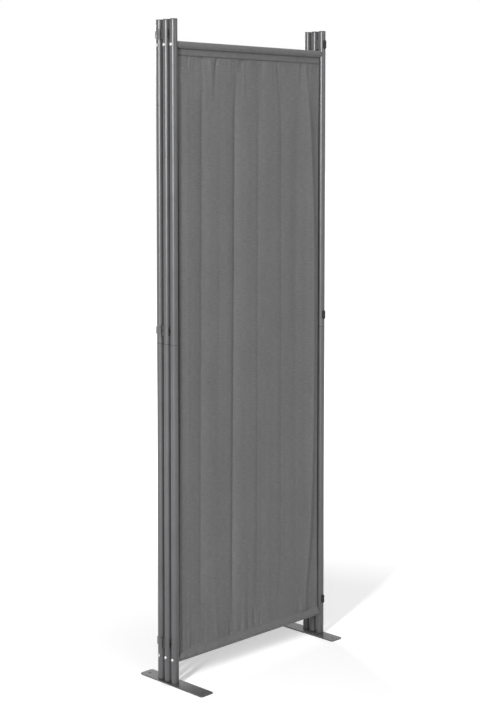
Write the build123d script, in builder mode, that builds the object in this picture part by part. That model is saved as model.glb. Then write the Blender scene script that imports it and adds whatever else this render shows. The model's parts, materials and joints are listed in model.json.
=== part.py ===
from build123d import *
from math import asin, atan2, cos, degrees, pi, sin
import os

# A folding screen of three cloth panels on tube frames, standing folded. Sizes are in millimetres.
# The origin is on the ground under the middle panel's centre. X runs along the panels, Y to the back
# and Z up. Hinges join the front and middle panels at the right, and the middle and rear panels at the
# left, so the screen opens as a zigzag. The two end posts stand on flat foot plates.

# Whole screen
height = 1650
post_span = 540  # between the axes of a panel's two posts
panel_pitch = 25  # between neighbouring panels when folded
half_span = post_span / 2
half_pitch = panel_pitch / 2
panel_places = {"front": -panel_pitch, "middle": 0, "rear": panel_pitch}
sides = {"left": -1, "right": 1}

# Posts, each of two tubes that meet on a joiner
post_radius = 9.5
post_bore = 8.5
tube_foot = 7.5  # height of every lower tube's end
seam_height = 853

# Joiners, caps and plugs in the tubes' ends. Their six-sided stems grip the bore with their edges.
stem_length = 12
joiner_reach = 22  # into each tube
cap_thick = 2.5
cap_edge = 0.7
free_foot = 4.5  # height of the plugs that stand on no plate

# Cross bars, the nuts pressed into their ends, and the screws from outside the posts
bar_radius = 8
bar_bore = 7
top_bar_height = 1588
bottom_bar_height = 65
plug_length = 15
screw_radius = 2.5
screw_hole_radius = 2.7
screw_head_radius = 4.6
screw_head_tall = 2.8
screw_length = 2 * post_radius + 12

# Foot plates
plate_wide = 40.6
plate_long = 228
plate_thick = 3
plate_corner = 6
plate_overhang = 13  # outside the post's axis
plate_shift = 5  # towards the middle of the folded screen
plate_hole_radius = 3
plate_hole_spacing = 196
sunk_depth = 2.2

# Hinges, three on each joint, with their knuckles outside the posts
hinge_heights = (100, 885, 1614)
hinge_tall = 24
bolt_spacing = 13
pin_reach = 12.5  # from the post's axis outwards
pin_radius = 1.5
pin_play = 0.05  # round the pin, in the knuckle that turns on it
knuckle_radius = 3.5
knuckle_gap = 0.2
leaf_gap = 0.8  # between the two leaves
leaf_inner = 7  # the leaf's edges, from the post's axis
leaf_outer = 8.4
bolt_radius = 2
bolt_hole_radius = 2.1
bolt_head_radius = 3.8
bolt_head_deep = 1.8
nut_radius = 4.6
nut_base = 1.2
nut_tall = 3
nut_crown = 2.6
nut_bore = 1.9
washer_wide = 10
washer_proud = 1.6
saddle_wide = 11
saddle_proud = 3.2
seat_corner = 3
saddle_taper = 25  # degrees

# Cloth: a sleeve round each bar and a sheet between them, drawn in at its sides
cloth_thick = 0.6
sleeve_half_long = 259
sleeve_top_depth = 26  # from the bar's axis to the line of stitches
sleeve_bottom_depth = 15
hem_half_thick = 0.9
hem_tall = 5
sheet_waist = 5.5  # how far each side is drawn in at half height
crease_places = (-173, -60, 25, 115)
crease_wide = 18
crease_slope = 0.03  # a fold's height over its width
edge_crease = 237  # the long crease beside the right edge
edge_crease_lean = 34  # how far it leans inwards at the hems
fold_levels = {0: 0.1, 0.2: 1, 0.8: 1, 1: 0.1}  # share of the sheet's height: share of the fold's depth

# Small fasteners, stems and their holes are six-sided, which keeps the faces few
small_sides = 6


def save(piece, name):
    piece.part.label = name
    export_step(piece.part, f"parts/{name}.step")


def copies(places, single):
    # The same small piece at each of several planes, as separate solids
    with BuildPart() as group:
        with Locations(*places):
            add(single.part)
    return group


def less(piece, *cutters):
    with BuildPart() as rest:
        add(piece.part)
        for cutter in cutters:
            add(cutter.part, mode=Mode.SUBTRACT)
    return rest


def looking(place, way):
    # A plane for flat-sided holes and fasteners, which all have an edge towards Z
    return Plane(place, x_dir=(0, 0, 1), z_dir=way)


def prism(radius, length, start=0):
    # A straight flat-sided bar along Z, added to the piece being made
    with BuildSketch(Plane.XY.offset(start)) as section:
        RegularPolygon(radius, small_sides)
    extrude(section.sketch, amount=length)


def frustum(start, radius, end, end_radius):
    # The same with a different radius at its far end
    drawn_in = (radius - end_radius) * cos(pi / small_sides)
    with BuildSketch(Plane.XY.offset(start)) as section:
        RegularPolygon(radius, small_sides)
    extrude(section.sketch, amount=end - start, taper=degrees(atan2(drawn_in, abs(end - start))))


def sunk_bolt(head_radius, head_deep, shank_radius, length):
    # Its flat head is at Z 0 and its shank runs up
    with BuildPart() as bolt:
        prism(shank_radius, length)
        frustum(0, head_radius, head_deep, shank_radius)
    return bolt


def bolt_levels(heights):
    return [z + step for z in heights for step in (-bolt_spacing / 2, bolt_spacing / 2)]


def drill_across(x, y, heights, radius, way):
    # Holes through both walls of a post
    for z in heights:
        with BuildSketch(looking((x, y, z), way)) as hole:
            RegularPolygon(radius, small_sides)
        extrude(hole.sketch, amount=2 * post_radius, both=True, mode=Mode.SUBTRACT)


def tube(x, y, low, high, bar_height, hinges):
    # One tube of a post, drilled for its bar's screw and for the bolts of the hinges on it
    with BuildPart() as post:
        with BuildSketch(Plane((x, y, low))):
            Circle(post_radius)
            Circle(post_bore, mode=Mode.SUBTRACT)
        extrude(amount=high - low)
        drill_across(x, y, [bar_height], screw_hole_radius, (1, 0, 0))
        drill_across(x, y, bolt_levels(hinges), bolt_hole_radius, (0, 1, 0))
    return post


def joiners(y):
    with BuildPart() as joiner:
        prism(post_bore, 2 * joiner_reach, -joiner_reach)
    return copies([Plane((x, y, seam_height)) for x in (-half_span, half_span)], joiner)


def post_caps(y):
    with BuildPart() as cap:
        Cylinder(post_radius, cap_thick, align=(Align.CENTER, Align.CENTER, Align.MIN))
        chamfer(cap.edges().group_by(Axis.Z)[-1], cap_edge)
        prism(post_bore, -stem_length)
    return copies([Plane((x, y, height - cap_thick)) for x in (-half_span, half_span)], cap)


def post_plug(x, y, low):
    # Closes the foot of a post, down to the given height
    with BuildPart() as plug:
        Cylinder(post_radius, tube_foot - low, align=(Align.CENTER, Align.CENTER, Align.MAX))
        prism(post_bore, stem_length)
    return copies([Plane((x, y, tube_foot))], plug)


def cross_bar(y, z):
    # The ends are coped, so that the bar seats round the posts
    with BuildPart() as bar:
        with BuildSketch(Plane((0, y, z), z_dir=(1, 0, 0))):
            Circle(bar_radius)
            Circle(bar_bore, mode=Mode.SUBTRACT)
        extrude(amount=half_span, both=True)
        with Locations((-half_span, y, z), (half_span, y, z)):
            Cylinder(post_radius, 4 * bar_radius, mode=Mode.SUBTRACT)
    return bar


def screw_seats(y):
    # Planes on the outer sides of the posts, facing along each screw
    return [
        looking((side * (half_span + post_radius), y, z), (-side, 0, 0))
        for side in sides.values()
        for z in (bottom_bar_height, top_bar_height)
    ]


def bar_plugs(y):
    # Long six-sided nuts inside the bars' ends
    with BuildPart() as plug:
        prism(bar_bore, plug_length)
        with BuildSketch() as thread:
            RegularPolygon(screw_radius, small_sides)
        extrude(thread.sketch, amount=plug_length, mode=Mode.SUBTRACT)
    return copies([seat.offset(2 * post_radius) for seat in screw_seats(y)], plug)


def bar_screws(y):
    with BuildPart() as screw:
        prism(screw_radius, screw_length)
        prism(screw_head_radius, -screw_head_tall / 2)
        frustum(-screw_head_tall / 2, screw_head_radius, -screw_head_tall, 0.6 * screw_head_radius)
    return copies(screw_seats(y), screw)


def foot_plate(side, post_y):
    centre_x = side * (half_span + plate_overhang - plate_wide / 2)
    centre_y = post_y - side * plate_shift
    with BuildPart() as plate:
        with BuildSketch():
            with Locations((centre_x, centre_y)):
                RectangleRounded(plate_wide, plate_long, plate_corner)
                with GridLocations(0, plate_hole_spacing, 1, 2):
                    Circle(plate_hole_radius, mode=Mode.SUBTRACT)
        extrude(amount=plate_thick)
    return plate


def crease_line(share):
    # Where the crease beside the right edge runs, from share 0 at the lower hem to 1 at the upper
    return edge_crease - edge_crease_lean * abs(2 * share - 1) ** 2.6


def fold_outline(share):
    # The sheet's cross-section: broad folds that bulge to the front, with narrow creases between.
    # A fold's height follows its width, so that neighbouring arcs meet at one slope.
    side = sleeve_half_long - sheet_waist * (1 - (2 * share - 1) ** 2)
    ends = [-side]
    for x in crease_places + (crease_line(share),):
        ends += [x - crease_wide / 2, x + crease_wide / 2]
    ends.append(side)
    for y in (-cloth_thick / 2, cloth_thick / 2):
        for index, (left, right) in enumerate(zip(ends, ends[1:])):
            way = 1 if index % 2 else -1
            bulge = way * crease_slope * fold_levels[share] * (right - left)
            ThreePointArc((left, y), ((left + right) / 2, y + bulge), (right, y))
    for x in (-side, side):
        Line((x, -cloth_thick / 2), (x, cloth_thick / 2))


def teardrop(radius, depth):
    # A round top with two tangent sides that meet at depth under its centre
    lean = asin(radius / depth)
    touch = (radius * cos(lean), -radius * sin(lean))
    with BuildLine() as outline:
        ThreePointArc(touch, (0, radius), (-touch[0], touch[1]))
        Polyline((-touch[0], touch[1]), (0, -depth), touch)
    make_face(outline.edges())


def sleeve(y, bar_height, depth, way):
    # Cloth round a bar, closed by its line of stitches below the bar (way 1) or above it (way -1)
    outer = bar_radius + cloth_thick
    with BuildSketch(Plane((-sleeve_half_long, y, bar_height), x_dir=(0, way, 0), z_dir=(1, 0, 0))) as profile:
        teardrop(outer, depth)
        with Locations((0, -depth)):
            Rectangle(2 * hem_half_thick, hem_tall)
        with BuildSketch(mode=Mode.SUBTRACT):
            teardrop(bar_radius, depth * bar_radius / outer)
    extrude(profile.sketch, amount=2 * sleeve_half_long)


def cloth(y):
    low = bottom_bar_height + sleeve_bottom_depth
    high = top_bar_height - sleeve_top_depth
    with BuildPart() as piece:
        for share in fold_levels:
            with BuildSketch(Plane((0, y, low + share * (high - low)))):
                with BuildLine():
                    fold_outline(share)
                make_face()
        loft(ruled=True)
        sleeve(y, top_bar_height, sleeve_top_depth, 1)
        sleeve(y, bottom_bar_height, sleeve_bottom_depth, -1)
    return piece


class Joint:
    # Where two panels meet: the side of the screen, and the plane midway between the panels
    def __init__(self, side, middle):
        self.side = side
        self.middle = middle
        self.post_x = side * half_span
        self.pin_x = side * (half_span + pin_reach)

    def across(self, distance, way):
        # Planes on the bolts' axes at a distance from the middle plane, looking along Y by way
        y = self.middle + distance
        return [looking((self.post_x, y, z), (0, way, 0)) for z in bolt_levels(hinge_heights)]


def knuckle_spans(facing):
    # The front leaf has the two end knuckles and the rear leaf the middle one
    third = hinge_tall / 3
    if facing < 0:
        return [(0, third - knuckle_gap), (2 * third + knuckle_gap, hinge_tall)]
    return [(third, 2 * third)]


def leaves(joint, facing):
    # Each leaf cups its post on one side and lies flat beside the other leaf on the other
    face_y = joint.middle + facing * leaf_gap / 2
    outwards = Align.MIN if facing > 0 else Align.MAX
    web_long = pin_reach - leaf_outer + 1
    bore = pin_radius if facing < 0 else pin_radius + pin_play
    with BuildPart() as piece:
        for low in (z - hinge_tall / 2 for z in hinge_heights):
            with BuildSketch(Plane.XY.offset(low)):
                with Locations((joint.post_x + joint.side * (leaf_outer - leaf_inner) / 2, face_y)):
                    Rectangle(leaf_inner + leaf_outer, half_pitch - leaf_gap, align=(Align.CENTER, outwards))
                with Locations((joint.post_x, joint.middle + facing * half_pitch)):
                    Circle(post_radius, mode=Mode.SUBTRACT)
            extrude(amount=hinge_tall)
            for start, end in knuckle_spans(facing):
                with BuildSketch(Plane.XY.offset(low + start)):
                    with Locations((joint.pin_x - joint.side * web_long / 2, face_y)):
                        Rectangle(web_long, knuckle_radius - leaf_gap / 2, align=(Align.CENTER, outwards))
                    with Locations((joint.pin_x, joint.middle)):
                        Circle(knuckle_radius)
                        Circle(bore, mode=Mode.SUBTRACT)
                extrude(amount=end - start)
    return piece


def hinge_pins(joint):
    with BuildPart() as pins:
        with Locations(*[(joint.pin_x, joint.middle, z) for z in hinge_heights]):
            Cylinder(pin_radius, hinge_tall)
    return pins


def cap_nuts(joint):
    with BuildPart() as nut:
        prism(nut_radius, nut_base)
        frustum(nut_base, nut_radius, nut_tall, nut_crown)
    return copies(joint.across(-half_pitch - post_radius - washer_proud, -1), nut)


def seats(joint, facing, wide, proud, taper):
    # Oval blocks outside the posts, hollowed to sit on the tube
    post_y = joint.middle + facing * half_pitch
    with BuildPart() as blocks:
        for z in hinge_heights:
            base = Plane((joint.post_x, post_y, z), x_dir=(1, 0, 0), z_dir=(0, facing, 0))
            for start, amount, drawn_in in ((0, post_radius, 0), (post_radius, proud, taper)):
                with BuildSketch(base.offset(start)):
                    Rectangle(wide, hinge_tall)
                    chamfer(vertices(), seat_corner)
                extrude(amount=amount, taper=drawn_in)
        with Locations((joint.post_x, post_y, height / 2)):
            Cylinder(post_radius, height, mode=Mode.SUBTRACT)
    return blocks


os.makedirs("parts", exist_ok=True)

foot_screw = sunk_bolt(screw_head_radius, sunk_depth, screw_radius, tube_foot + stem_length - 3)
foot_sides = {"front": "left", "rear": "right"}

for panel, y in panel_places.items():
    for side_name, side in sides.items():
        x = side * half_span
        on_plate = foot_sides.get(panel) == side_name
        hinges = () if on_plate else hinge_heights
        lower = tube(x, y, tube_foot, seam_height, bottom_bar_height, hinges[:1])
        upper = tube(x, y, seam_height, height - cap_thick, top_bar_height, hinges[1:])
        save(lower, f"{panel}_{side_name}_lower_tube")
        save(upper, f"{panel}_{side_name}_upper_tube")
        if on_plate:
            screw = copies([Plane((x, y, 0))], foot_screw)
            save(screw, f"{panel}_foot_screw")
            save(less(foot_plate(side, y), screw), f"{panel}_foot_plate")
            save(less(post_plug(x, y, plate_thick), screw), f"{panel}_foot_plug")
        else:
            save(post_plug(x, y, free_foot), f"{panel}_{side_name}_end_plug")
    save(joiners(y), f"{panel}_joiners")
    save(post_caps(y), f"{panel}_post_caps")
    save(cross_bar(y, top_bar_height), f"{panel}_top_bar")
    save(cross_bar(y, bottom_bar_height), f"{panel}_bottom_bar")
    save(bar_plugs(y), f"{panel}_bar_plugs")
    save(bar_screws(y), f"{panel}_bar_screws")
    save(cloth(y), f"{panel}_cloth")

outside = half_pitch + post_radius  # from a joint's middle plane to its posts' far sides
front_bolt_length = outside + washer_proud + nut_bore - leaf_gap / 2
rear_bolt_length = outside + saddle_proud - leaf_gap
front_bolt = sunk_bolt(bolt_head_radius, bolt_head_deep, bolt_radius, front_bolt_length)
rear_bolt = sunk_bolt(bolt_head_radius, bolt_head_deep, bolt_radius, rear_bolt_length)
for name, joint in (("right", Joint(1, -half_pitch)), ("left", Joint(-1, half_pitch))):
    front_bolts = copies(joint.across(-leaf_gap / 2, -1), front_bolt)
    rear_bolts = copies(joint.across(outside + saddle_proud, -1), rear_bolt)
    save(hinge_pins(joint), f"{name}_hinge_pins")
    save(front_bolts, f"{name}_hinge_front_bolts")
    save(less(leaves(joint, -1), front_bolts), f"{name}_hinge_front_leaves")
    save(less(seats(joint, -1, washer_wide, washer_proud, 0), front_bolts), f"{name}_hinge_washers")
    save(less(cap_nuts(joint), front_bolts), f"{name}_hinge_cap_nuts")
    save(rear_bolts, f"{name}_hinge_rear_bolts")
    save(less(leaves(joint, 1), rear_bolts), f"{name}_hinge_rear_leaves")
    save(less(seats(joint, 1, saddle_wide, saddle_proud, saddle_taper), rear_bolts), f"{name}_hinge_saddles")
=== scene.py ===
import json
import random
from math import asin, cos, exp, hypot, pi, radians, sin

import bmesh
import bpy
from mathutils import Matrix, Vector

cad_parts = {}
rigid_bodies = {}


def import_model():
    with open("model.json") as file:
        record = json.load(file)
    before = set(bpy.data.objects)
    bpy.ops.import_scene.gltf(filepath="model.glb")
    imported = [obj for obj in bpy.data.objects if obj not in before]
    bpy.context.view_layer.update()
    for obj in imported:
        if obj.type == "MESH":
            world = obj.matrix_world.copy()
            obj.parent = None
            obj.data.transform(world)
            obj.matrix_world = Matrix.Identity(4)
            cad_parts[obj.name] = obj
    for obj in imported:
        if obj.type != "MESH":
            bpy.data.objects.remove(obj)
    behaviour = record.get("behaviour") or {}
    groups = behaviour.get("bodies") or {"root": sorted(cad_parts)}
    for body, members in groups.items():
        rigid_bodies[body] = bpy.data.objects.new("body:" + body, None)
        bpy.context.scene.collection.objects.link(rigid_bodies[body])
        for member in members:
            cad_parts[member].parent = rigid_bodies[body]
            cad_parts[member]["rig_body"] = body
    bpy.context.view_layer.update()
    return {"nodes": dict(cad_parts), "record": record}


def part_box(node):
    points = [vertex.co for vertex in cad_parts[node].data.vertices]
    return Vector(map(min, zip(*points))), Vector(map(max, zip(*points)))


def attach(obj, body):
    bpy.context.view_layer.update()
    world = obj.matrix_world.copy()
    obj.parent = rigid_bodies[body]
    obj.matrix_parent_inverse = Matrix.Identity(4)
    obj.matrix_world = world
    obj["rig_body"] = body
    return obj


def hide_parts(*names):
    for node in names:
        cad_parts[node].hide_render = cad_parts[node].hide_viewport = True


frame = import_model()

# A folding screen of three cloth panels on tube frames, standing folded. Everything is in metres, with
# the origin on the ground under the middle panel. The front panel faces -Y.

panelNames = ("front", "middle", "rear")
hingeBodies = {"right": ("front_panel", "middle_panel"), "left": ("middle_panel", "rear_panel")}


# What the whole scene is seen with

camera = {
    "place": (-2.6558, -2.6389, 1.3349),
    "turn": -45.0,  # degrees to the right of +Y
    "tilt": 3.5,  # degrees downwards
    "lens": 72.37,
    "sensor": 36,
    "shiftY": -0.1706,
}


def placeCamera():
    data = bpy.data.cameras.new("camera")
    data.sensor_width = camera["sensor"]
    data.lens = camera["lens"]
    data.shift_y = camera["shiftY"]
    holder = bpy.data.objects.new("camera", data)
    holder.location = camera["place"]
    holder.rotation_euler = (radians(90 - camera["tilt"]), 0, radians(camera["turn"]))
    bpy.context.scene.collection.objects.link(holder)
    bpy.context.scene.camera = holder


placeCamera()
bpy.context.scene.view_settings.view_transform = "Standard"
print("camera placed")


# Shader maths: values from sockets, which work in plain expressions

class Value:
    def __init__(self, finish, socket):
        self.finish = finish
        self.socket = socket

    def maths(self, operation, *values):
        return self.finish.node("Math", {"operation": operation}, dict(enumerate(values)))

    def __add__(self, other):
        return self.maths("ADD", self, other)

    def __sub__(self, other):
        return self.maths("SUBTRACT", self, other)

    def __rsub__(self, other):
        return self.maths("SUBTRACT", other, self)

    def __mul__(self, other):
        return self.maths("MULTIPLY", self, other)

    def __truediv__(self, other):
        return self.maths("DIVIDE", self, other)

    def __rtruediv__(self, other):
        return self.maths("DIVIDE", other, self)

    def __pow__(self, other):
        return self.maths("POWER", self, other)

    def wave(self):
        return self.maths("SINE", self)

    def size(self):
        return self.maths("ABSOLUTE", self)

    def upTo(self, other):
        return self.maths("MINIMUM", self, other)

    def atLeast(self, other):
        return self.maths("MAXIMUM", self, other)

    def above(self, other):
        return self.maths("GREATER_THAN", self, other)

    __radd__ = __add__
    __rmul__ = __mul__


# A material that is built up from nodes round one Principled shader

class Finish:
    def __init__(self, name, **constants):
        self.material = bpy.data.materials.new(name)
        self.material.use_nodes = True
        self.nodes = self.material.node_tree.nodes
        self.links = self.material.node_tree.links
        self.shader = self.nodes["Principled BSDF"]
        for socketName, value in constants.items():
            self.shader.inputs[socketName.replace("_", " ")].default_value = value

    def node(self, kind, settings=None, inputs=None, output=0):
        made = self.nodes.new("ShaderNode" + kind)
        for setting, value in (settings or {}).items():
            if setting == "stops":
                self.setStops(made.color_ramp, value)
            else:
                setattr(made, setting, value)
        for key, value in (inputs or {}).items():
            self.feed(self.find(made.inputs, key), value)
        return Value(self, self.find(made.outputs, output))

    def find(self, sockets, key):
        if isinstance(key, int):
            return sockets[key]
        return next(s for s in sockets if key in (s.identifier, s.name) and s.enabled)

    def feed(self, socket, value):
        if isinstance(value, Value):
            self.links.new(value.socket, socket)
        else:
            socket.default_value = value

    def setStops(self, ramp, stops):
        while len(ramp.elements) < len(stops):
            ramp.elements.new(1)
        for element, (place, shade) in zip(ramp.elements, stops):
            element.position = place
            element.color = grey(shade)

    def where(self, kind="Object"):
        return self.node("TexCoord", output=kind)

    def stretch(self, vector, scale):
        return self.node("Mapping", None, {"Vector": vector, "Scale": scale})

    def noise(self, vector, scale, detail=2.0, roughness=0.5):
        values = {"Vector": vector, "Scale": scale, "Detail": detail, "Roughness": roughness}
        return self.node("TexNoise", {"noise_dimensions": "3D"}, values, output="Fac")

    def ramp(self, value, *stops):
        return self.node("ValToRGB", {"stops": stops}, {"Fac": value}, output="Color")

    def blend(self, share, first, second):
        values = {"Factor_Float": share, "A_Color": first, "B_Color": second}
        return self.node("Mix", {"data_type": "RGBA"}, values, output="Result_Color")

    def bump(self, height, distance, strength=1.0, normal=None):
        values = {"Height": height, "Distance": distance, "Strength": strength}
        if normal:
            values["Normal"] = normal
        return self.node("Bump", None, values, output="Normal")

    def split(self, vector):
        return [self.node("SeparateXYZ", None, {"Vector": vector}, output=axis) for axis in "XYZ"]

    def drive(self, **inputs):
        for socketName, value in inputs.items():
            self.feed(self.shader.inputs[socketName.replace("_", " ")], value)


def grey(value):
    return (value, value, value, 1)


# Paint of the posts, bars and foot plates, with a painted shadow line in the gap where the two tubes of a
# post meet

powderCoat = {
    "base": 0.066,
    "tint": 0.0026,  # a trace bluer than grey
    "dark": 0.88,  # shares of the base between which the coat varies
    "light": 1.1,
    "specular": 0.5,
    "roughness": 0.31,
    "roughnessSpread": 0.14,
    "cloudScale": 14,
    "speckScale": 420,
    "speckShare": 0.25,
    "peelScale": 900,
    "peelDepth": 0.00006,
    # the painted shadow line where the tubes meet: its half width and its share of the base
    "seamHalfWide": 0.0012,
    "seamPaintedShadow": 0.2,
}


def coatColour(share):
    base, tint = powderCoat["base"], powderCoat["tint"]
    return (base * share, base * share, (base + tint) * share, 1)


def makePowderCoat(name, seamHeight=None):
    finish = Finish(name, Specular_IOR_Level=powderCoat["specular"])
    place = finish.where()
    cloudy = finish.noise(place, powderCoat["cloudScale"], 4, 0.6)
    speck = finish.noise(place, powderCoat["speckScale"], 2, 0.6)
    peel = finish.noise(place, powderCoat["peelScale"], 1)
    mixed = cloudy * (1 - powderCoat["speckShare"]) + speck * powderCoat["speckShare"]
    shade = finish.ramp(mixed, (0.35, 0), (0.65, 1))
    coat = finish.blend(shade, coatColour(powderCoat["dark"]), coatColour(powderCoat["light"]))
    # Painted shadow: a dark band round the post where its two tubes meet stands for the shade in the gap
    # between them
    if seamHeight:
        away = (finish.split(place)[2] - seamHeight).size() / powderCoat["seamHalfWide"]
        line = grey(powderCoat["base"] * powderCoat["seamPaintedShadow"])
        coat = finish.blend(finish.ramp(away, (0.5, 0), (1, 1)), line, coat)
    finish.drive(
        Base_Color=coat,
        Roughness=powderCoat["roughness"] + (cloudy - 0.5) * powderCoat["roughnessSpread"],
        Normal=finish.bump(peel, powderCoat["peelDepth"], 0.5),
    )
    return finish.material


# The hinges' coats: black on bolts, nuts and washers, dark grey on leaves, pins and saddles

hingeCoat = {
    "roughness": 0.38,
    "cloudScale": 60,
    "grainScale": 1600,
    "grainDepth": 0.00004,
    "hingeBlack": {"dark": 0.007, "light": 0.014, "specular": 0.3, "roughnessSpread": 0.2},
    "saddleGrey": {"dark": 0.05, "light": 0.07, "specular": 0.5, "roughnessSpread": 0.15},
}


def makeHingeCoat(name):
    values = hingeCoat[name]
    finish = Finish(name, Specular_IOR_Level=values["specular"])
    place = finish.where()
    cloudy = finish.noise(place, hingeCoat["cloudScale"], 3, 0.6)
    grain = finish.noise(place, hingeCoat["grainScale"], 2)
    finish.drive(
        Base_Color=finish.blend(cloudy, grey(values["dark"]), grey(values["light"])),
        Roughness=hingeCoat["roughness"] + cloudy * values["roughnessSpread"],
        Normal=finish.bump(grain, hingeCoat["grainDepth"], 0.6),
    )
    return finish.material


blackPlastic = {
    "dark": 0.03,
    "light": 0.052,
    "specular": 0.45,
    "roughness": 0.5,
    "roughnessSpread": 0.16,
    "grainScale": 1300,
    "grainDepth": 0.00005,
    "scuffScales": (90, 90, 30),
}


def makeBlackPlastic():
    finish = Finish("blackPlastic", Specular_IOR_Level=blackPlastic["specular"])
    place = finish.where()
    grain = finish.noise(place, blackPlastic["grainScale"], 3, 0.7)
    scuffs = finish.noise(finish.stretch(place, blackPlastic["scuffScales"]), 1, 4, 0.65)
    finish.drive(
        Base_Color=finish.blend(scuffs, grey(blackPlastic["dark"]), grey(blackPlastic["light"])),
        Roughness=blackPlastic["roughness"] + scuffs * blackPlastic["roughnessSpread"],
        Normal=finish.bump(grain, blackPlastic["grainDepth"], 0.7),
    )
    return finish.material


zinc = {
    "dark": 0.42,
    "light": 0.6,
    "roughness": 0.24,
    "roughnessSpread": 0.18,
    "bloomScale": 240,
    "brushScales": (3000, 3000, 400),
    "brushDepth": 0.00002,
}


def makeZinc():
    finish = Finish("zinc", Metallic=1.0)
    place = finish.where()
    bloom = finish.noise(place, zinc["bloomScale"], 3, 0.6)
    brushed = finish.noise(finish.stretch(place, zinc["brushScales"]), 1, 2)
    finish.drive(
        Base_Color=finish.blend(bloom, grey(zinc["dark"]), grey(zinc["light"])),
        Roughness=zinc["roughness"] + bloom * zinc["roughnessSpread"],
        Normal=finish.bump(brushed, zinc["brushDepth"], 0.5),
    )
    return finish.material


threadedSteel = {"dark": 0.34, "light": 0.5, "roughness": 0.35, "roughnessSpread": 0.2, "bloomScale": 180}


def makeThreadedSteel():
    finish = Finish("threadedSteel", Metallic=1.0)
    bloom = finish.noise(finish.where(), threadedSteel["bloomScale"], 3, 0.6)
    finish.drive(
        Base_Color=finish.blend(bloom, grey(threadedSteel["dark"]), grey(threadedSteel["light"])),
        Roughness=threadedSteel["roughness"] + bloom * threadedSteel["roughnessSpread"],
    )
    return finish.material


# Cloth: one sheet a panel, sewn into a sleeve round each bar

cloth = {
    "halfWide": 0.259,
    "waist": 0.0052,  # how far each side is drawn in at half height
    "sleeveRadius": 0.0084,  # to the middle of the cloth
    "thick": 0.0005,
    "wallShare": 0.55,  # of the thickness, from a seam's plane to the middle of each wall
    "topBar": 1.588,
    "bottomBar": 0.065,
    "topPinch": 0.0098,  # from the bar's axis to the stitches that close the sleeve
    "topSeam": 0.026,  # to the hem's stitches below them
    "bottomSeam": 0.015,
    "upperFlap": 0.003,  # of the hem past the stitches
    "lowerFlap": 0.007,
    "lowerFlapOff": 1.6,  # thicknesses by which the lower hem's edge stands off the sheet
    "columns": 190,
    "rows": 150,
    "rowCrowding": 0.05,  # brings the rows closer together near the hems
    "levelling": 12,  # the sheet leaves a hem's front wall over one part in this many of its height
    "sleeveRows": 22,
    "wallRows": 5,
    "bandRows": 4,
}
wallOffset = cloth["thick"] * cloth["wallShare"]
pinchHigh = cloth["topBar"] - cloth["topPinch"]
seamHigh = cloth["topBar"] - cloth["topSeam"]
seamLow = cloth["bottomBar"] + cloth["bottomSeam"]


weave = {
    "base": 0.132,
    "dark": 0.7,  # shares of the base between which the threads vary
    "light": 1.3,
    "gapShade": 0.62,  # between the threads
    "paintedStitchShade": 0.35,  # painted shade along the upper sleeve's lines of stitches, standing for the shadow in the groove the needle pulls into the weave
    "grooveHalfWide": 0.0022,
    "specular": 0.25,
    "sheen": 0.12,
    "roughness": 0.86,
    "roughnessSpread": 0.14,
    "threadPitch": 0.00075,
    "threadDepth": 0.00012,
    "slubDepth": 0.00005,
    "scales": {
        "grain": 420,
        "warpSlubs": (420, 36, 1),
        "weftSlubs": (55, 420, 1),
        "clouds": 5,
        "streaks": (38, 1.2, 1),
    },
    "shares": {"grain": 0.2, "warpSlubs": 0.18, "weftSlubs": 0.36, "clouds": 0.12, "streaks": 0.14},
}


def makeCloth():
    # The pattern follows the cloth's own map, which is in metres across and along the sheet
    finish = Finish(
        "wovenCloth",
        Specular_IOR_Level=weave["specular"],
        Sheen_Weight=weave["sheen"],
        Sheen_Roughness=0.5,
    )
    place = finish.where("UV")
    across, along, _ = finish.split(place)
    turns = pi / weave["threadPitch"]
    warp = (across * turns).wave()
    weft = (along * turns).wave()
    checker = (warp * weft).above(0)
    threads = warp.size() * checker + weft.size() * (1 - checker)
    scales, shares = weave["scales"], weave["shares"]
    grain = finish.noise(place, scales["grain"], 3, 0.7)
    warpSlubs = finish.noise(finish.stretch(place, scales["warpSlubs"]), 1, 3, 0.6)
    weftSlubs = finish.noise(finish.stretch(place, scales["weftSlubs"]), 1, 3, 0.6)
    clouds = finish.noise(place, scales["clouds"], 3, 0.6)
    streaks = finish.noise(finish.stretch(place, scales["streaks"]), 1, 3, 0.55)
    shade = grain * shares["grain"] + warpSlubs * shares["warpSlubs"] + weftSlubs * shares["weftSlubs"]
    shade = shade + clouds * shares["clouds"] + streaks * shares["streaks"]
    base = weave["base"]
    tone = finish.ramp(shade, (0.4, 0), (0.6, 1))
    body = finish.blend(tone, grey(base * weave["dark"]), grey(base * weave["light"]))
    woven = finish.blend(threads, grey(base * weave["gapShade"]), body)
    # Painted shade: a dark band along the upper sleeve's two lines of stitches stands for the shadow in
    # their grooves
    height = finish.split(finish.where())[2]
    fromSeam = (height - seamHigh).size().upTo((height - pinchHigh).size())
    stitchShadowMask = finish.ramp(fromSeam / weave["grooveHalfWide"], (0.35, 0), (1, 1))
    threadBump = finish.bump(threads, weave["threadDepth"], 0.5)
    finish.drive(
        Base_Color=finish.blend(stitchShadowMask, grey(base * weave["paintedStitchShade"]), woven),
        Roughness=weave["roughness"] + (grain - 0.5) * weave["roughnessSpread"],
        Normal=finish.bump(weftSlubs + warpSlubs, weave["slubDepth"], 0.6, threadBump),
    )
    return finish.material


sewingThread = {
    "dark": 0.06,
    "light": 0.1,
    "sheen": 0.15,
    "roughness": 0.7,
    "roughnessSpread": 0.15,
    "plyScales": (2600, 2600, 1400),
    "plyDepth": 0.00005,
}


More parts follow.
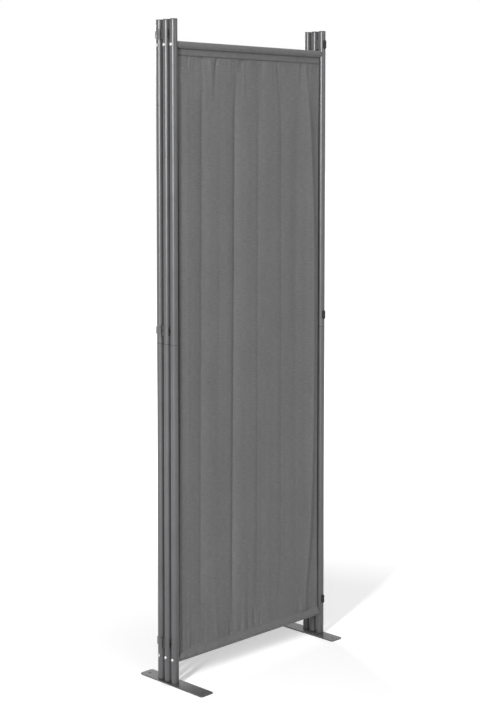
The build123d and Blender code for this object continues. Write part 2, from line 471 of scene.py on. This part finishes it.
def makeThread():
    finish = Finish("sewingThread", Sheen_Weight=sewingThread["sheen"])
    ply = finish.noise(finish.stretch(finish.where(), sewingThread["plyScales"]), 1, 2)
    finish.drive(
        Base_Color=finish.blend(ply, grey(sewingThread["dark"]), grey(sewingThread["light"])),
        Roughness=sewingThread["roughness"] + ply * sewingThread["roughnessSpread"],
        Normal=finish.bump(ply, sewingThread["plyDepth"], 0.5),
    )
    return finish.material


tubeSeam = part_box("front_left_lower_tube")[1].z
finishes = {
    "post": makePowderCoat("postCoat", seamHeight=tubeSeam),
    "bar": makePowderCoat("barCoat"),
    "foot": makePowderCoat("footCoat"),
    "plug_steel": makeThreadedSteel(),
    "zinc": makeZinc(),
    "hinge_black": makeHingeCoat("hingeBlack"),
    "saddle": makeHingeCoat("saddleGrey"),
    "black_plastic": makeBlackPlastic(),
    "cloth": makeCloth(),
    "thread": makeThread(),
}
print("finishes made")


slotOf = {row["node"]: row["material_slot"] for row in frame["record"]["subparts"]}
greyPieces = ("saddles", "leaves", "pins")  # of the hinges, which share their slot with the black ones


def finishOf(name):
    return "saddle" if name.endswith(greyPieces) else slotOf[name]


def dressNodes():
    for name, node in frame["nodes"].items():
        finish = finishes[finishOf(name)]
        if not node.material_slots:
            node.data.materials.append(finish)
        for place in node.material_slots:
            place.material = finish


dressNodes()
print("CAD nodes dressed")


# The bmesh of one piece becomes an object that rides on its body

def finishPiece(mesh, name, body, finish):
    data = bpy.data.meshes.new(name)
    for face in mesh.faces:
        face.smooth = True
    mesh.to_mesh(data)
    mesh.free()
    data.materials.append(finishes[finish])
    piece = bpy.data.objects.new(name, data)
    bpy.context.scene.collection.objects.link(piece)
    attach(piece, body)
    return piece


# How the sheets fold

folds = {
    # Each line's place at the lower and the upper hem, depth and width
    "lines": (
        (-0.180, -0.172, 0.0042, 0.012),
        (-0.066, -0.055, 0.0072, 0.012),
        (0.022, 0.028, 0.0030, 0.012),
        (0.115, 0.112, 0.0030, 0.012),
        (-0.222, -0.229, -0.0016, 0.012),
        (-0.118, -0.112, 0.0012, 0.012),
        (0.170, 0.168, 0.0012, 0.014),
    ),
    "lineSides": (0.85, 1.5),  # shares of a line's width on its left and right
    "lineAtHem": 0.3,  # share of its depth that a line keeps at the hems
    "crease": 0.237,
    "creaseLean": 0.036,
    "creaseBend": 2.6,
    "creaseDepth": 0.008,
    "creaseWide": 0.013,
    "creaseLeft": 2.4,  # how much wider the crease is on its left
    "creaseAtHem": 0.4,
    # The broad waves between the creases: share, turns across, turns up and start
    "waves": ((1, 17, 0, 0.6), (0.6, 41, 2.1, 1), (0.35, 73, -1.3, 0)),
    "waveDepth": 0.0009,
    "hemHold": 0.12,  # share of the height over which a hem holds the cloth flatter
    "bandProud": 0.0007,  # how far the band between two lines of stitches stands proud
    "bandWide": 0.005,
    "bandRipple": 0.5,  # share of it that comes and goes along the band
    "bandTurns": 160,
    "bandWander": (3, 37),
    "hemRoll": 0.0009,  # how far the cloth stands proud beside a line of stitches
    "hemRollPlace": 0.006,
    "hemRollWide": 0.004,
    "sideHem": 0.009,
    "sideHemProud": 0.0006,
    "sideHemSlope": 0.0015,
    "seamEase": 0.005,  # the folds grow to their depth over this distance from the stitches
}

# Short wrinkles that run away from a line of stitches
puckerStyle = {
    "count": 52,
    "wide": (0.0045, 0.008),
    "long": (0.015, 0.025, 0.04, 0.08),
    "deep": 0.0036,
    "least": 0.25,  # share of that depth
    "ways": (1, 1, -1),  # two in three go inwards
    "lean": 0.12,
    "sides": (0.6, 1.2),  # shares of a wrinkle's width on its left and right
    "reach": 3,  # how many times its width and length a wrinkle is felt
}


def makePuckers(draw):
    return [
        {
            "x": draw.uniform(-cloth["halfWide"], cloth["halfWide"]),
            "wide": draw.uniform(*puckerStyle["wide"]),
            "long": draw.choice(puckerStyle["long"]),
            "deep": (
                draw.uniform(puckerStyle["least"], 1)
                * draw.choice(puckerStyle["ways"])
                * puckerStyle["deep"]
            ),
            "lean": draw.uniform(-puckerStyle["lean"], puckerStyle["lean"]),
        }
        for _ in range(puckerStyle["count"])
    ]


def bell(distance, wide):
    return exp(-((distance / wide) ** 2))


def crisp(distance, left, right):
    # A crease with a sharp bottom and its own width on each side
    return exp(-abs(distance) / (left if distance < 0 else right))


def heldAtHem(loose, atHem):
    # A fold's share of its depth, which is whole where the cloth is loose
    return atHem + (1 - atHem) * loose


def bandDepth(x, z):
    middle = (seamHigh + pinchHigh) / 2
    wander, wanderTurns = folds["bandWander"]
    ripple = 1 + folds["bandRipple"] * sin(folds["bandTurns"] * x + wander * sin(wanderTurns * x))
    return -folds["bandProud"] * bell(z - middle, folds["bandWide"]) * ripple


def lineDepth(x, share, loose):
    left, right = folds["lineSides"]
    depth = 0
    for low, high, deep, wide in folds["lines"]:
        line = low + (high - low) * share
        depth += deep * crisp(x - line, left * wide, right * wide)
    return depth * heldAtHem(loose, folds["lineAtHem"])


def creaseDepth(x, share, loose):
    crease = folds["crease"] - folds["creaseLean"] * abs(2 * share - 1) ** folds["creaseBend"]
    ridge = crisp(x - crease, folds["creaseLeft"] * folds["creaseWide"], folds["creaseWide"])
    return -folds["creaseDepth"] * ridge * heldAtHem(loose, folds["creaseAtHem"])


def waveDepth(x, z, loose):
    waves = sum(share * sin(across * x + up * z + start) for share, across, up, start in folds["waves"])
    return -folds["waveDepth"] * waves * loose


def puckerDepth(x, distance, wrinkles):
    left, right = puckerStyle["sides"]
    depth = 0
    for wrinkle in wrinkles:
        wide, long = wrinkle["wide"], wrinkle["long"]
        away = x - wrinkle["x"] - wrinkle["lean"] * distance
        if distance < puckerStyle["reach"] * long and abs(away) < puckerStyle["reach"] * wide:
            depth += wrinkle["deep"] * crisp(away, left * wide, right * wide) * exp(-distance / long)
    return depth


def foldDepth(x, z, edge, puckers):
    # How far the open sheet stands behind its plane
    if z >= seamHigh:
        return bandDepth(x, z)
    share = (z - seamLow) / (seamHigh - seamLow)
    held = min(1, share / folds["hemHold"], (1 - share) / folds["hemHold"])
    loose = held * held * (3 - 2 * held)
    depth = lineDepth(x, share, loose) + creaseDepth(x, share, loose) + waveDepth(x, z, loose)
    for wrinkles, distance in zip(puckers, (seamHigh - z, z - seamLow)):
        depth += puckerDepth(x, distance, wrinkles)
        depth -= folds["hemRoll"] * bell(distance - folds["hemRollPlace"], folds["hemRollWide"])
    inHem = (abs(x) - edge + folds["sideHem"]) / folds["sideHemSlope"]
    depth -= folds["sideHemProud"] * min(1, max(0, inHem))
    return depth * min(1, (seamHigh - z) / folds["seamEase"], (z - seamLow) / folds["seamEase"])


def between(first, last, share):
    return tuple(a + (b - a) * share for a, b in zip(first, last))


def sleeveRoute(seam):
    # Offsets (y, z) from a bar: from the stitches below its back, over the bar, to those at its front
    radius = cloth["sleeveRadius"]
    lean = asin(radius / seam)
    count = cloth["sleeveRows"]
    angles = [-lean + (pi + 2 * lean) * step / (count - 1) for step in range(count)]
    turn = [(radius * cos(angle), radius * sin(angle)) for angle in angles]
    steps = [step / cloth["wallRows"] for step in range(cloth["wallRows"])]
    back = [between((wallOffset, -seam), turn[0], share) for share in steps]
    front = [between((-wallOffset, -seam), turn[-1], share) for share in reversed(steps)]
    return back + turn + front


def clothRoute():
    # The sheet's section (y, z, is it the open sheet), from the upper hem's edge to the lower one's
    route = [(wallOffset, seamHigh - cloth["upperFlap"], False), (wallOffset, seamHigh, False)]
    route += [(y, cloth["topBar"] + z, False) for y, z in sleeveRoute(cloth["topPinch"])]
    for step in range(1, cloth["bandRows"]):
        share = 1 - step / cloth["bandRows"]
        route.append((-wallOffset, seamHigh + (pinchHigh - seamHigh) * share, True))
    route.append((-wallOffset, seamHigh, True))
    for step in range(1, cloth["rows"]):
        share = step / cloth["rows"]
        share -= cloth["rowCrowding"] * sin(2 * pi * share)
        nearSeam = max(0, 1 - cloth["levelling"] * min(share, 1 - share))
        route.append((-wallOffset * nearSeam, seamHigh + (seamLow - seamHigh) * share, True))
    lower = reversed(sleeveRoute(cloth["bottomSeam"]))
    route += [(y, cloth["bottomBar"] - z, False) for y, z in lower]
    flapEdge = wallOffset + cloth["lowerFlapOff"] * cloth["thick"]
    route.append((flapEdge, seamLow + cloth["lowerFlap"], False))
    return route


def lengthsAlong(route):
    along = [0.0]
    for (y0, z0, _), (y1, z1, _) in zip(route, route[1:]):
        along.append(along[-1] + hypot(y1 - y0, z1 - z0))
    return along


def halfWidth(z):
    # The sheet is drawn in between its hems
    height = min(1, max(0, (z - seamLow) / (seamHigh - seamLow)))
    return cloth["halfWide"] - cloth["waist"] * (1 - (2 * height - 1) ** 2)


def makeClothPiece(panel, middleY, draw):
    # A flat grid is laid along the route, with a map of its places on the flat sheet
    route = clothRoute()
    along = lengthsAlong(route)
    puckers = (makePuckers(draw), makePuckers(draw))
    mesh = bmesh.new()
    rows = len(route) - 1
    bmesh.ops.create_grid(mesh, x_segments=cloth["columns"], y_segments=rows, size=1, calc_uvs=True)
    weaveMap = mesh.loops.layers.uv.verify()
    places = {}
    for vertex in mesh.verts:
        acrossShare, row = vertex.co.x, round((1 - vertex.co.y) / 2 * rows)
        y, z, isOpen = route[row]
        edge = halfWidth(z)
        x = acrossShare * edge
        places[vertex.index] = (acrossShare * cloth["halfWide"], along[row])
        if isOpen:
            y += foldDepth(x, z, edge, puckers)
        vertex.co = (x, middleY + y, z)
    for face in mesh.faces:
        for loop in face.loops:
            loop[weaveMap].uv = places[loop.vert.index]
    bmesh.ops.recalc_face_normals(mesh, faces=mesh.faces)
    piece = finishPiece(mesh, f"{panel}_cloth_sheet", f"{panel}_panel", "cloth")
    thickness = piece.modifiers.new("thickness", "SOLIDIFY")
    thickness.thickness = cloth["thick"]
    thickness.offset = 0
    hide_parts(f"{panel}_cloth")
    return piece, along[-1]


stitches = {
    "pitch": 0.0036,
    "long": 0.0026,
    "radius": 0.0004,
    "sides": 6,
    "inset": 0.003,  # from the sheet's sides
    "proud": 0.5,  # how far its middle stands out of the cloth, as a share of the radius
    "pinchDrop": 0.0008,  # from the pinch down to its stitches
}


def makeStitches(panel, middleY):
    mesh = bmesh.new()
    count = int(2 * (cloth["halfWide"] - stitches["inset"]) / stitches["pitch"])
    along = Matrix.Rotation(radians(90), 4, "Y")
    outside = wallOffset + cloth["thick"] / 2 + stitches["radius"] * stitches["proud"]
    for z in (pinchHigh - stitches["pinchDrop"], seamHigh, seamLow):
        for y in (middleY - outside, middleY + outside):
            for index in range(count):
                x = (index - (count - 1) / 2) * stitches["pitch"]
                bmesh.ops.create_cone(
                    mesh,
                    cap_ends=True,
                    segments=stitches["sides"],
                    radius1=stitches["radius"],
                    radius2=stitches["radius"],
                    depth=stitches["long"],
                    matrix=Matrix.Translation((x, y, z)) @ along,
                )
    return finishPiece(mesh, f"{panel}_cloth_stitches", f"{panel}_panel", "thread")


def nodeMiddle(name):
    low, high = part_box(name)
    return (low + high) / 2


def hangCloth(panel, draw):
    middleY = nodeMiddle(f"{panel}_top_bar").y
    sheet, cutLength = makeClothPiece(panel, middleY, draw)
    thread = makeStitches(panel, middleY)


draw = random.Random(11)
for panel in panelNames:
    hangCloth(panel, draw)
print("cloth hung")


# Round fasteners stand for the plain six-sided ones of the frame

screwHead = {
    "radius": 0.0041,
    "tall": 0.0028,
    "rim": 0.35,  # share of the height at which the dome starts
    "socket": 0.0014,
    "socketDeep": 0.0014,
    "socketTaper": 0.95,
    "socketPoint": 0.0002,
}
capNut = {
    "radius": 0.0046,
    "base": 0.0009,
    "dome": 0.0041,
    "domeSunk": 0.0004,  # into the base
    "tall": 0.003,
}
sunkBolt = {
    "radius": 0.0038,
    "deep": 0.0018,
    "shank": 0.002,
    "socket": 0.0011,
    "socketDeep": 0.0012,
    "edge": 0.0002,
}
hinges = {"heights": (0.1, 0.885, 1.614), "boltOffset": 0.0065}  # up and down from a hinge's middle

mergeDistance = 1e-6
sharpAngle = 30


def freshVerts(mesh):
    # Those that belong to no finished part of the mesh
    return [vert for vert in mesh.verts if not vert.tag]


def markDone(verts):
    for vert in verts:
        vert.tag = True


def turned(mesh, profile, place, way, segments=28):
    # A profile of (radius, height) points turned round an axis that starts at place and points by way
    verts = [mesh.verts.new((radius, 0, height)) for radius, height in profile]
    edges = [mesh.edges.new(pair) for pair in zip(verts, verts[1:])]
    bmesh.ops.spin(
        mesh,
        geom=verts + edges,
        cent=(0, 0, 0),
        axis=(0, 0, 1),
        angle=2 * pi,
        steps=segments,
        use_merge=True,
    )
    bmesh.ops.remove_doubles(mesh, verts=freshVerts(mesh), dist=mergeDistance)
    made = freshVerts(mesh)
    faces = list({face for vert in made for face in vert.link_faces})
    bmesh.ops.recalc_face_normals(mesh, faces=faces)
    facing = Vector((0, 0, 1)).rotation_difference(Vector(way)).to_matrix().to_4x4()
    bmesh.ops.transform(mesh, matrix=Matrix.Translation(place) @ facing, verts=made)
    markDone(made)


def panProfile():
    r, tall, rim = screwHead["radius"], screwHead["tall"], screwHead["rim"]
    socket, floor = screwHead["socket"], tall - screwHead["socketDeep"]
    angles = [radians(angle) for angle in range(0, 76, 15)]
    dome = [(r * cos(angle), rim * tall + (1 - rim) * tall * sin(angle)) for angle in angles]
    return [(0, 0), (r, 0)] + dome + [
        (socket, tall),
        (socket * screwHead["socketTaper"], floor),
        (0, floor - screwHead["socketPoint"]),
    ]


def domeProfile():
    r, low, high = capNut["dome"], capNut["base"] - capNut["domeSunk"], capNut["tall"]
    angles = [radians(angle) for angle in range(0, 91, 10)]
    return [(0, low)] + [(r * cos(angle), low + (high - low) * sin(angle)) for angle in angles]


def sunkProfile(length):
    r, deep, shank, edge = (sunkBolt[value] for value in ("radius", "deep", "shank", "edge"))
    socket, floor = sunkBolt["socket"], sunkBolt["socketDeep"]
    return [
        (0, floor),
        (socket, floor),
        (socket, edge / 2),
        (socket + edge, 0),
        (r - edge, 0),
        (r, edge),
        (shank, deep),
        (shank, length),
        (0, length),
    ]


def boltPlaces(name):
    # Where a node's nuts or bolts sit on the back face of its box, two at each hinge
    low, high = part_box(name)
    x, offset = (low.x + high.x) / 2, hinges["boltOffset"]
    return [Vector((x, high.y, z + step)) for z in hinges["heights"] for step in (-offset, offset)]


def standFor(mesh, name, body, slotName, node):
    # A round piece that takes the place of a plain node
    piece = finishPiece(mesh, name, body, slotName)
    piece.data.set_sharp_from_angle(angle=radians(sharpAngle))
    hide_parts(node)


def makeScrewHeads(panel):
    name = f"{panel}_bar_screws"
    low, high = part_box(name)
    seat = screwHead["tall"]
    mesh = bmesh.new()
    for x, way in ((low.x + seat, -1), (high.x - seat, 1)):
        for z in (cloth["bottomBar"], cloth["topBar"]):
            turned(mesh, panProfile(), (x, (low.y + high.y) / 2, z), (way, 0, 0))
    standFor(mesh, f"{panel}_screw_heads", f"{panel}_panel", "zinc", name)


def makeDomedNuts(hinge, body):
    name = f"{hinge}_hinge_cap_nuts"
    onSide = Matrix.Rotation(radians(90), 4, "X")
    mesh = bmesh.new()
    for place in boltPlaces(name):
        turned(mesh, domeProfile(), place, (0, -1, 0))
        flats = bmesh.ops.create_cone(
            mesh,
            cap_ends=True,
            segments=6,
            radius1=capNut["radius"],
            radius2=capNut["radius"],
            depth=capNut["base"],
            matrix=Matrix.Translation(place - Vector((0, capNut["base"] / 2, 0))) @ onSide,
        )
        markDone(flats["verts"])
    standFor(mesh, f"{hinge}_domed_nuts", body, "hinge_black", name)


def makeRoundBolts(hinge, part, body):
    name = f"{hinge}_hinge_{part}"
    low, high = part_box(name)
    mesh = bmesh.new()
    for place in boltPlaces(name):
        turned(mesh, sunkProfile(high.y - low.y), place, (0, -1, 0))
    standFor(mesh, f"{hinge}_{part}_round", body, "hinge_black", name)


for panel in panelNames:
    makeScrewHeads(panel)
for hinge, (frontBody, rearBody) in hingeBodies.items():
    makeDomedNuts(hinge, frontBody)
    makeRoundBolts(hinge, "front_bolts", frontBody)
    makeRoundBolts(hinge, "rear_bolts", rearBody)
print("fasteners turned")


# CAD pieces whose edges catch the light get them rounded, in a copy that stands for the node

softEdges = {
    "foot_plate": 0.0006,
    "post_caps": 0.0004,
    "saddles": 0.0009,
    "washers": 0.0005,
    "leaves": 0.0003,
}
flatAngle = 1  # faces that meet at less than this are joined into one before the edges are rounded


def roundEdges(name, width):
    node = frame["nodes"][name]
    mesh = bmesh.new()
    mesh.from_mesh(node.data)
    bmesh.ops.remove_doubles(mesh, verts=mesh.verts, dist=mergeDistance)
    bmesh.ops.dissolve_limit(mesh, angle_limit=radians(flatAngle), verts=mesh.verts, edges=mesh.edges)
    piece = finishPiece(mesh, f"{name}_rounded", node["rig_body"], finishOf(name))
    bevel = piece.modifiers.new("bevel", "BEVEL")
    bevel.width = width
    bevel.segments = 2
    bevel.limit_method = "ANGLE"
    bevel.angle_limit = radians(sharpAngle)
    normals = piece.modifiers.new("normals", "WEIGHTED_NORMAL")
    normals.keep_sharp = True
    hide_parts(name)


for name in sorted(frame["nodes"]):
    for ending, width in softEdges.items():
        if name.endswith(ending):
            roundEdges(name, width)
print("edges rounded")


# Floor and light

studio = {
    "floorHalf": 60.0,
    "floorGrey": 0.85,
    "floorLift": 0.21,  # plain white that the camera sees on top of the floor's own light
    "liftFrom": 0.7,  # from here outwards the floor turns plain white
    "liftTo": 2.2,
    "worldLight": 0.19,
    "target": (0, 0, 0.9),
    "lamps": {
        "left": {"place": (-4.4, -1.7, 2.1), "size": (0.4, 2.2), "power": 280},
        "front": {"place": (0.6, -4.6, 2.3), "size": (1.0, 1.8), "power": 30},
        "overhead": {"place": (0.2, -1.2, 4.4), "size": (2.5, 1.6), "power": 56},
        "back": {"place": (1.6, 3.9, 2.6), "size": (1.0, 2.0), "power": 120},
    },
}


def seenDirectly(finish):
    # 1 for what the camera sees, also in metal and through glass, and 0 for what lights the screen
    straight = finish.node("LightPath", output="Is Camera Ray")
    glossy = finish.node("LightPath", output="Is Glossy Ray")
    through = finish.node("LightPath", output="Is Transmission Ray")
    return (straight + glossy + through).upTo(1)


def makeFloor():
    mesh = bmesh.new()
    bmesh.ops.create_grid(mesh, x_segments=1, y_segments=1, size=studio["floorHalf"])
    data = bpy.data.meshes.new("floor")
    mesh.to_mesh(data)
    mesh.free()
    floor = bpy.data.objects.new("floor", data)
    bpy.context.scene.collection.objects.link(floor)
    finish = Finish("floorWhite", Roughness=0.9, Specular_IOR_Level=0.0)
    finish.shader.inputs["Base Color"].default_value = grey(studio["floorGrey"])
    white = finish.nodes.new("ShaderNodeEmission")
    lift = finish.nodes.new("ShaderNodeAddShader")
    x, y, _ = finish.split(finish.where())
    away = (x * x + y * y) ** 0.5
    share = ((away - studio["liftFrom"]) / (studio["liftTo"] - studio["liftFrom"])).atLeast(0).upTo(1)
    lifted = studio["floorLift"] + share * (1 - studio["floorLift"])
    finish.links.new((seenDirectly(finish) * lifted).socket, white.inputs["Strength"])
    finish.links.new(finish.shader.outputs[0], lift.inputs[0])
    finish.links.new(white.outputs[0], lift.inputs[1])
    finish.links.new(lift.outputs[0], finish.nodes["Material Output"].inputs[0])
    data.materials.append(finish.material)


class WorldFinish(Finish):
    def __init__(self, name):
        self.world = bpy.data.worlds.new(name)
        self.world.use_nodes = True
        self.nodes = self.world.node_tree.nodes
        self.links = self.world.node_tree.links


def makeWorld():
    finish = WorldFinish("studioWhite")
    bpy.context.scene.world = finish.world
    background = finish.nodes["Background"]
    background.inputs["Color"].default_value = grey(1)
    direct = seenDirectly(finish)
    strength = direct + (1 - direct) * studio["worldLight"]
    finish.links.new(strength.socket, background.inputs["Strength"])


def makeLamp(name, values):
    data = bpy.data.lights.new(name, "AREA")
    data.shape = "RECTANGLE"
    data.size, data.size_y = values["size"]
    data.energy = values["power"]
    lamp = bpy.data.objects.new(name, data)
    lamp.location = values["place"]
    aim = Vector(studio["target"]) - Vector(values["place"])
    lamp.rotation_euler = aim.to_track_quat("-Z", "Y").to_euler()
    bpy.context.scene.collection.objects.link(lamp)


makeFloor()
makeWorld()
for lampName, lampValues in studio["lamps"].items():
    makeLamp(lampName, lampValues)
print("studio lit")
